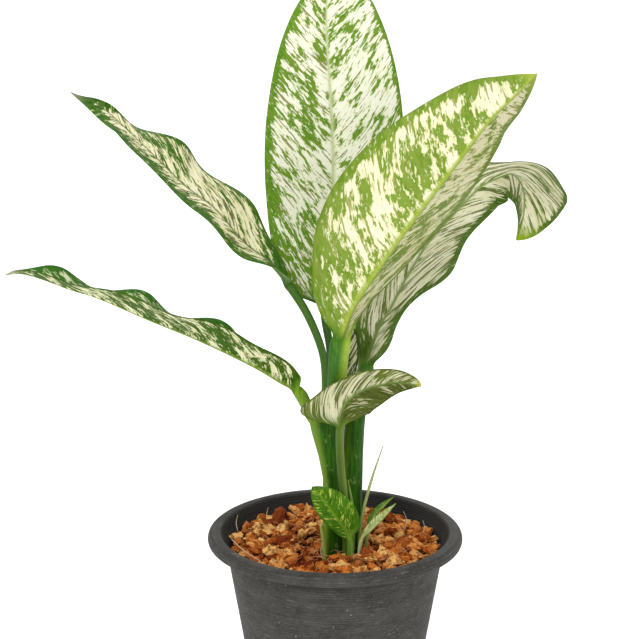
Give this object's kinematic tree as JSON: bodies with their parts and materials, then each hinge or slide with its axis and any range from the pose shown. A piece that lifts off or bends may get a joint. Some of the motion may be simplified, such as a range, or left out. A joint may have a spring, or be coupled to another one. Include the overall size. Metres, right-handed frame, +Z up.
{
  "type": "potted plant",
  "caption": "Potted dieffenbachia: broad cream and green variegated leaves on upright stalks in a round tapered nursery pot filled with husk chips.",
  "frame": {"origin": "centre of the pot's base, on the surface that the pot stands on", "axes": "+Z up along the pot's axis; -Y is the side that the picture shows; +X is to the right in it"},
  "size_m": [0.3413, 0.1706, 0.4731],
  "materials": {
    "pot": "matte, finely ridged, dusty",
    "medium": "rough fibrous husk chips",
    "stalk": "smooth, softly glossy",
    "leaf": "cream and green variegation, softly glossy",
    "young": "bright green, softly glossy"
  },
  "bodies": {
    "root": {"pot": "pot", "growing_medium": "medium", "stalk_left": "stalk", "stalk_right": "stalk", "leaf_back_tall": "leaf", "leaf_front_right": "leaf", "leaf_right_drooping": "leaf", "leaf_left_upper": "leaf", "leaf_left_lower": "leaf", "leaf_front_small": "leaf", "leaf_back_hidden": "leaf", "leaf_offset": "young", "leaf_narrow_upper": "young", "leaf_narrow_lower": "young", "spear_tall": "young", "spear_short": "young", "stub_left": "young"}
  },
  "joints": []
}
